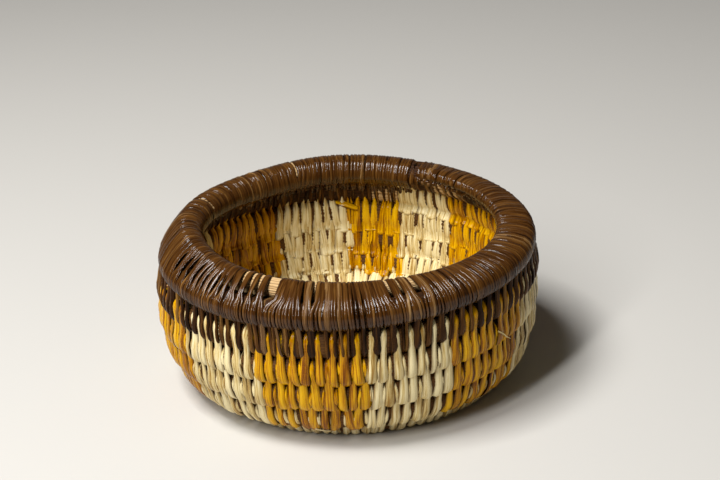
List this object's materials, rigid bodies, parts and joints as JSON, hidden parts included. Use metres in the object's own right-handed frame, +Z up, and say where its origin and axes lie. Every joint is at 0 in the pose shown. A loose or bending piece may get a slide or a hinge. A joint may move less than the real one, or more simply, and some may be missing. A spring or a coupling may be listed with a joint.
{
  "type": "coiled basket",
  "caption": "Low round bowl-shaped basket, coiled from straw and oversewn with cream, golden and brown strands, with a bulging wall and a thick rolled rim.",
  "frame": {"origin": "on the ground, under the middle of the outer shape", "axes": "+Z up through the mouth, -Y towards the front, +X to the right; the coil winds upwards from the front to the right, the back and the left"},
  "size_m": [0.2024, 0.2034, 0.0889],
  "materials": {
    "straw_bundle": "dry matte straw",
    "cream_strand": "natural satin",
    "golden_strand": "dyed satin",
    "brown_strand": "dyed satin"
  },
  "bodies": {
    "root": {"straw_bundle_coil": "straw_bundle", "cream_base_stitching": "cream_strand", "cream_centre_knot": "cream_strand", "cream_foot_stitching_1": "cream_strand", "cream_foot_stitching_2": "cream_strand", "cream_foot_stitching_3": "cream_strand", "yellow_block_1_row_1": "golden_strand", "cream_block_1_row_1": "cream_strand", "yellow_block_2_row_1": "golden_strand", "cream_block_2_row_1": "cream_strand", "yellow_block_3_row_1": "golden_strand", "cream_block_3_row_1": "cream_strand", "yellow_block_4_row_1": "golden_strand", "cream_block_4_row_1": "cream_strand", "yellow_block_5_row_1": "golden_strand", "cream_block_5_row_1": "cream_strand", "yellow_block_6_row_1": "golden_strand", "cream_block_6_row_1": "cream_strand", "yellow_block_1_row_2": "golden_strand", "cream_block_1_row_2": "cream_strand", "yellow_block_2_row_2": "golden_strand", "cream_block_2_row_2": "cream_strand", "yellow_block_3_row_2": "golden_strand", "cream_block_3_row_2": "cream_strand", "yellow_block_4_row_2": "golden_strand", "cream_block_4_row_2": "cream_strand", "yellow_block_5_row_2": "golden_strand", "cream_block_5_row_2": "cream_strand", "yellow_block_6_row_2": "golden_strand", "cream_block_6_row_2": "cream_strand", "yellow_block_1_row_3": "golden_strand", "cream_block_1_row_3": "cream_strand", "yellow_block_2_row_3": "golden_strand", "cream_block_2_row_3": "cream_strand", "yellow_block_3_row_3": "golden_strand", "cream_block_3_row_3": "cream_strand", "yellow_block_4_row_3": "golden_strand", "cream_block_4_row_3": "cream_strand", "yellow_block_5_row_3": "golden_strand", "cream_block_5_row_3": "cream_strand", "yellow_block_6_row_3": "golden_strand", "cream_block_6_row_3": "cream_strand", "brown_neck_wrap_1": "brown_strand", "brown_neck_wrap_2": "brown_strand", "brown_neck_wrap_3": "brown_strand", "brown_neck_wrap_4": "brown_strand", "brown_neck_wrap_5": "brown_strand", "brown_neck_wrap_6": "brown_strand", "brown_neck_wrap_7": "brown_strand", "brown_neck_wrap_8": "brown_strand", "brown_neck_wrap_9": "brown_strand", "brown_rim_wrap_1": "brown_strand", "brown_rim_wrap_2": "brown_strand", "brown_rim_wrap_3": "brown_strand", "brown_rim_wrap_4": "brown_strand", "brown_rim_wrap_5": "brown_strand", "brown_rim_wrap_6": "brown_strand", "brown_rim_wrap_7": "brown_strand", "brown_rim_wrap_8": "brown_strand", "brown_rim_wrap_9": "brown_strand"}
  },
  "joints": []
}
